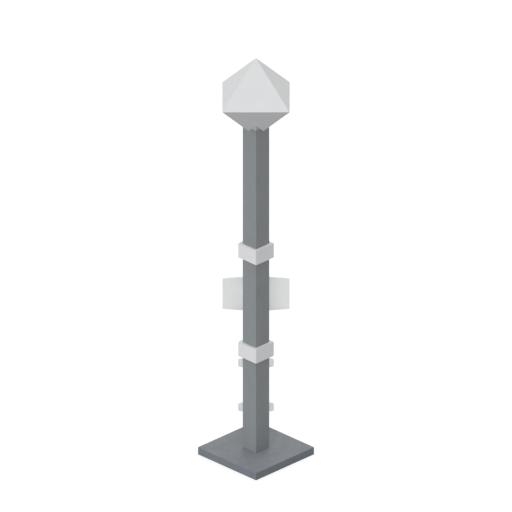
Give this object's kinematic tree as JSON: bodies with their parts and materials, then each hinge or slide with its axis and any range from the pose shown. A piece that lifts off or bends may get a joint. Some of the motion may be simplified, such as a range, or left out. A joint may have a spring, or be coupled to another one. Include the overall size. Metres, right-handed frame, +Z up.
{
  "type": "railway semaphore signal",
  "caption": "Two-position railway semaphore signal on a square post, with a faceted finial, hand-worked balance lever and down rod, lamp, blank board and square base plate.",
  "frame": {"origin": "centre of the base plate's underside, which is the centre of its four tapped holes", "axes": "+Z up the post; +Y points to the driver, along one corner of the turned square post; +X is the side that the arm swings out to"},
  "size_m": [0.123, 0.147, 0.4705],
  "materials": {
    "base_paint": "satin",
    "post_paint": "satin",
    "white_paint": "satin",
    "black_paint": "satin",
    "lamp_paint": "gloss",
    "arm_enamel": "gloss",
    "steel": "brushed",
    "brass": "satin",
    "weight_iron": "painted casting",
    "grip_plastic": "gloss",
    "red_glass": "clear red",
    "green_glass": "clear blue-green",
    "clear_glass": "clear"
  },
  "bodies": {
    "root": {"base_plate": "base_paint", "post_tube": "post_paint", "post_top_plug": "post_paint", "tie_rod": "steel", "tie_nuts": "steel", "tie_washers": "steel", "neck_band": "white_paint", "finial_lower_shell": "white_paint", "finial_upper_shell": "white_paint", "collar_lower": "white_paint", "collar_upper": "white_paint", "collar_grub_screws": "steel", "number_board": "white_paint", "board_saddle": "white_paint", "board_screws": "steel", "saddle_screws": "steel", "rod_guide_lower": "white_paint", "rod_guide_upper": "white_paint", "guide_bushes": "brass", "pivot_bracket": "black_paint", "pivot_screw": "steel", "lamp_bracket": "black_paint", "lever_bracket": "black_paint", "bracket_screws": "steel", "lever_pivot_pin": "steel", "lever_pivot_clip": "brass"},
    "arm": {"spectacle_casting": "black_paint", "pivot_bush": "brass", "arm_blade": "arm_enamel", "blade_rivets": "steel", "glass_red": "red_glass", "glass_green": "green_glass", "glass_rings": "brass", "crank_pin": "steel", "crank_pin_clip": "brass"},
    "rod": {"down_rod": "steel", "rod_yoke": "steel", "rod_end": "steel", "rod_end_pin": "steel", "rod_end_clip": "brass", "stop_collars": "steel", "stop_screws": "steel"},
    "lever": {"balance_lever": "black_paint", "lever_bush": "brass", "balance_weight": "weight_iron", "weight_grub_screw": "steel", "lever_grip": "grip_plastic"},
    "lamp": {"lamp_case": "lamp_paint", "lamp_bullseye": "clear_glass", "lamp_lens_ring": "brass", "lamp_burner": "brass", "lamp_roof": "lamp_paint"}
  },
  "joints": [
    {"name": "lever_tilt", "type": "hinge", "parent": "root", "child": "lever", "pos_m": [0.00504, 0.04404, 0.0304], "axis": [-1, 0, 0], "range_deg": [0, 47.68]},
    {"name": "rod_slide", "type": "slide", "parent": "root", "child": "rod", "axis": [0, 0, 1], "range_m": [0, 0.01414]},
    {"name": "arm_swing", "type": "hinge", "parent": "root", "child": "arm", "pos_m": [0, 0.03034, 0.3544], "axis": [0, -1, 0], "range_deg": [0, 90]},
    {"name": "lamp_lift", "type": "slide", "parent": "root", "child": "lamp", "axis": [0, 0, 1], "range_m": [0, 0.006]}
  ],
  "couplings": [
    {"joint": "rod_slide", "follows": "lever_tilt", "m_per_rad": 0.016992},
    {"joint": "arm_swing", "follows": "lever_tilt", "ratio": 1.8874}
  ]
}
